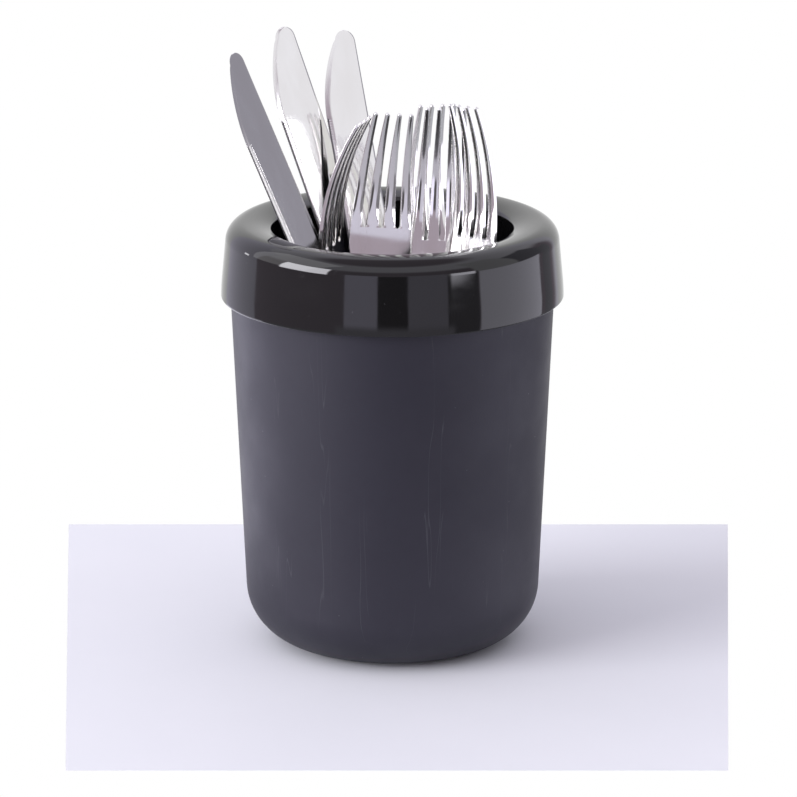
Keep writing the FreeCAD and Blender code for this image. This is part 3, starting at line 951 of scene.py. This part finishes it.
def blade_half_thickness(z, share, from_edge, heel):
    """Half the thickness of the blade, which begins at the height heel, at a share of its width."""
    out = clamped((z - heel) / BLADE_LENGTH)
    spine = between(BLADE_HEEL_THICKNESS, BLADE_TIP_THICKNESS, out)
    wedge = spine * between(WEDGE_SHARE, 1.0, share)
    half = between(CUTTING_EDGE_THICKNESS, wedge, min(from_edge / GRIND_WIDTH, 1.0)) / 2
    if share > SPINE_ROUND_FROM:
        rounded = (share - SPINE_ROUND_FROM) / (1 - SPINE_ROUND_FROM)
        half *= math.sqrt(1 - rounded**2 * SPINE_ROUNDING)
    return half


def knife_section(z, length):
    """Closed loop of points round the knife at height z, in millimetres."""
    heel = length - BLADE_LENGTH
    left, right, blade = knife_span(z, length)
    notch = notch_share(z, length)
    grooved, plain = [], []
    for share in KNIFE_COLUMNS:
        x = between(left, right, share)
        from_edge = x - left
        near_edge = max(0.0, 1 - from_edge / (GRIND_WIDTH * TOOTH_REACH))
        cut = notch * near_edge * blade
        handle_y = handle_half_thickness(z, share, heel - HEEL_RUN)
        y = between(handle_y, blade_half_thickness(z, share, from_edge, heel), blade)
        x += TOOTH_DEPTH * cut
        grooved.append((x, -y * (1 - NOTCH_GROOVE * cut), z))
        plain.append((x, y, z))
    return grooved + plain[-2:0:-1]


def knife_bmesh(length):
    """Closed mesh of a knife, lofted through sections from butt to nose."""
    bm = bmesh.new()
    rings = []
    for z in knife_rows(length):
        section = knife_section(z, length)
        rings.append([bm.verts.new(Vector(point) * MM) for point in section])
    for lower, upper in zip(rings, rings[1:]):
        count = len(lower)
        for i in range(count):
            n = (i + 1) % count
            bm.faces.new((lower[i], lower[n], upper[n], upper[i]))
    bm.faces.new(list(reversed(rings[0])))
    bm.faces.new(rings[-1])
    teeth_low, teeth_high = toothed_stretch(length)
    # Faces of the toothed strip take the second material, whose dark colour is painted shade
    for face in bm.faces:
        middle = face.calc_center_median() / MM
        left, _, _ = knife_span(middle.z, length)
        if middle.x < left + GROUND_STRIP and teeth_low < middle.z < teeth_high:
            face.material_index = 1
    return bm


def build_knife(name, material, teeth_shade_material):
    bm = knife_bmesh(node_length(name))
    shift = own_texture_shift(name)
    item = finished_object(f"{name}_steel", bm, material, KNIFE_SHARP_ANGLE, shift)
    # The second material paints the shade of the teeth onto the toothed strip
    item.data.materials.append(teeth_shade_material)
    stand_on_node(item, name, KNIFE_BUTT_THICKNESS / 2)


# Studio


def floor_material():
    """Pale painted board with the faintest mottle."""
    material, shader = new_material("pale_floor")
    tree = material.node_tree
    mottle = noise(tree, own_coordinates(tree), 9.0, 3.0)
    settings = {
        "Base Color": mix_colour(tree, ramp(tree, mottle, 0.3, 0.7), *FLOOR_TONES),
        "Roughness": 0.8,
        "Specular IOR Level": 0.15,
    }
    feed_inputs(tree, shader, settings)
    return material


def build_floor():
    """Sheet of floor, its top just under the pot's foot."""
    bm = bmesh.new()
    bm.faces.new([bm.verts.new(Vector((x, y, -FLOOR_DROP)) * MM) for x, y in FLOOR_CORNERS])
    finished_object("floor", bm, floor_material())


# Soft boxes of the studio, later ones in front of earlier ones: azimuth from -Y towards +X and
# half width, lowest and highest elevation, edge softness, all in degrees, then colour and strength.
# A half width of 180 goes all round, and an elevation of 90 or -90 leaves that end open.
SOFT_BOXES = {
    "floor_bounce": (0, 180, -90, -14, 4, (0.97, 0.98, 1.08), 0.50),
    "overhead": (0, 180, 30, 64, 12, (1.0, 0.98, 1.08), 1.15),
    "back_wall": (180, 38, -90, 42, 8, (1.0, 0.98, 1.10), 1.05),
    "left_wall": (-143, 38, -14, 42, 2, (1.0, 0.97, 1.14), 0.95),
    "left_low": (-140, 42, -55, -15, 4, (1.0, 0.98, 1.13), 2.6),
    "right_wall": (77, 19, 3, 52, 4, (1.0, 0.99, 1.04), 0.95),
    "right_grey": (112, 16, 3, 40, 4, (1.0, 0.97, 1.13), 0.33),
    "right_panel": (90, 29, -18, 4, 2, (1.0, 0.98, 1.12), 1.8),
    "right_gap": (130, 6, -18, 20, 3, (1.0, 0.98, 1.10), 0.35),
    "front_dark": (14, 26, -18, 6, 2, (1.0, 0.92, 0.98), 0.10),
    "front_panel_left": (-21, 11, -18, 9, 1.5, (1.0, 0.96, 1.18), 1.15),
    "front_panel_right": (24, 13.5, -18, 9, 1.5, (1.0, 0.96, 1.14), 0.70),
    "edge_gap": (49, 11, -18, 9, 2, (1.0, 0.95, 1.05), 0.22),
    "table_front": (2, 40, -30, -9, 4, (1.0, 0.96, 1.10), 0.55),
    "window_left": (-64, 19, 2, 30, 2, (1.0, 0.99, 1.05), 10.0),
    "window_small": (-118, 2.5, 2, 7, 1, (1.0, 0.99, 1.05), 6.0),
    "window_right": (49, 9, -2, 9, 2, (1.0, 0.98, 1.08), 5.0),
}
ROOM_COLOUR = (0.42, 0.36, 0.42, 1.0)

# Polished surfaces also mirror the white background, from where a direction's Y passes these values
BACKDROP_FROM, BACKDROP_TO = 0.80, 0.86

# One large soft lamp to the left, in metres and watts, and the point it faces
LAMP_PLACE = (-0.95, -0.10, 0.75)
LAMP_SIZE = 1.1
LAMP_POWER = 3.6
LAMP_AIM = (0.0, 0.0, 0.08)


def soft_box_mask(tree, level, height, azimuth, half_width, low, high, softness):
    """1 inside a soft box and 0 outside, for a level direction and a direction's height."""
    soft = softness / 2
    mask = 1.0
    if half_width < 180:
        turn = math.radians(azimuth)
        facing = add(tree, "ShaderNodeVectorMath", operation="DOT_PRODUCT")
        feed(tree, facing.inputs[0], level)
        feed(tree, facing.inputs[1], (math.sin(turn), -math.cos(turn), 0.0))
        outside = math.cos(math.radians(min(half_width + soft, 180)))
        inside = math.cos(math.radians(max(half_width - soft, 0)))
        mask = ramp(tree, facing.outputs["Value"], outside, inside)
    for edge, sign in ((low, 1), (high, -1)):
        if abs(edge) == 90:
            continue
        start = math.sin(math.radians(edge - soft * sign))
        end = math.sin(math.radians(edge + soft * sign))
        mask = maths(tree, "MULTIPLY", mask, ramp(tree, height, start, end))
    return mask


def build_world():
    """White background for the camera, and a studio of soft boxes for light and reflections."""
    world = bpy.data.worlds.new("studio")
    bpy.context.scene.world = world
    world.use_nodes = True
    tree = world.node_tree
    tree.nodes.clear()
    place = add(tree, "ShaderNodeTexCoord")
    direction = place.outputs["Generated"]
    split = add(tree, "ShaderNodeSeparateXYZ")
    feed(tree, split.inputs[0], direction)
    flat = add(tree, "ShaderNodeVectorMath", operation="MULTIPLY")
    feed(tree, flat.inputs[0], direction)
    feed(tree, flat.inputs[1], (1.0, 1.0, 0.0))
    level = add(tree, "ShaderNodeVectorMath", operation="NORMALIZE")
    feed(tree, level.inputs[0], flat.outputs[0])
    colour = ROOM_COLOUR
    for *extent, tint, strength in SOFT_BOXES.values():
        mask = soft_box_mask(tree, level.outputs[0], split.outputs["Z"], *extent)
        box_colour = (*(channel * strength for channel in tint), 1.0)
        colour = mix_colour(tree, mask, colour, box_colour)
    studio = add(tree, "ShaderNodeBackground")
    feed(tree, studio.inputs["Color"], colour)
    white = add(tree, "ShaderNodeBackground")
    feed(tree, white.inputs["Color"], WHITE)
    rays = add(tree, "ShaderNodeLightPath")
    behind = ramp(tree, split.outputs["Y"], BACKDROP_FROM, BACKDROP_TO)
    reflected = maths(tree, "MULTIPLY", rays.outputs["Is Glossy Ray"], behind)
    glass = rays.outputs["Is Transmission Ray"]
    seen = maths(tree, "MAXIMUM", rays.outputs["Is Camera Ray"], glass)
    mix = add(tree, "ShaderNodeMixShader")
    tree.links.new(maths(tree, "MAXIMUM", seen, reflected), mix.inputs[0])
    tree.links.new(studio.outputs[0], mix.inputs[1])
    tree.links.new(white.outputs[0], mix.inputs[2])
    output = add(tree, "ShaderNodeOutputWorld")
    tree.links.new(mix.outputs[0], output.inputs["Surface"])


def build_lamp():
    light = bpy.data.lights.new("key_lamp", "AREA")
    light.size = LAMP_SIZE
    light.energy = LAMP_POWER
    lamp = bpy.data.objects.new("key_lamp", light)
    bpy.context.scene.collection.objects.link(lamp)
    lamp.location = LAMP_PLACE
    aim = Vector(LAMP_AIM) - Vector(LAMP_PLACE)
    lamp.rotation_euler = aim.to_track_quat("-Z", "Y").to_euler()


def build_camera():
    data = bpy.data.cameras.new("camera")
    data.sensor_width = SENSOR_WIDTH
    data.lens = FOCAL_PIXELS * SENSOR_WIDTH / FRAME_PIXELS
    camera = bpy.data.objects.new("camera", data)
    bpy.context.scene.collection.objects.link(camera)
    camera.location = CAMERA_PLACE
    camera.rotation_euler = (math.pi / 2 - CAMERA_TILT_DOWN, 0, 0)
    bpy.context.scene.camera = camera


build_camera()
build_pot(pot_material())
build_lid(lid_material())
steel = steel_material()
# Steel for the toothed edges, darkened with painted shade of the teeth
steel_with_teeth_shade = teeth_shade_steel_material()
for piece in STANDING:
    if piece.startswith("knife"):
        build_knife(piece, steel, steel_with_teeth_shade)
    else:
        build_fork(piece, steel)
build_floor()
build_world()
build_lamp()

scene = bpy.context.scene
scene.view_settings.view_transform = "Standard"

bpy.context.view_layer.update()
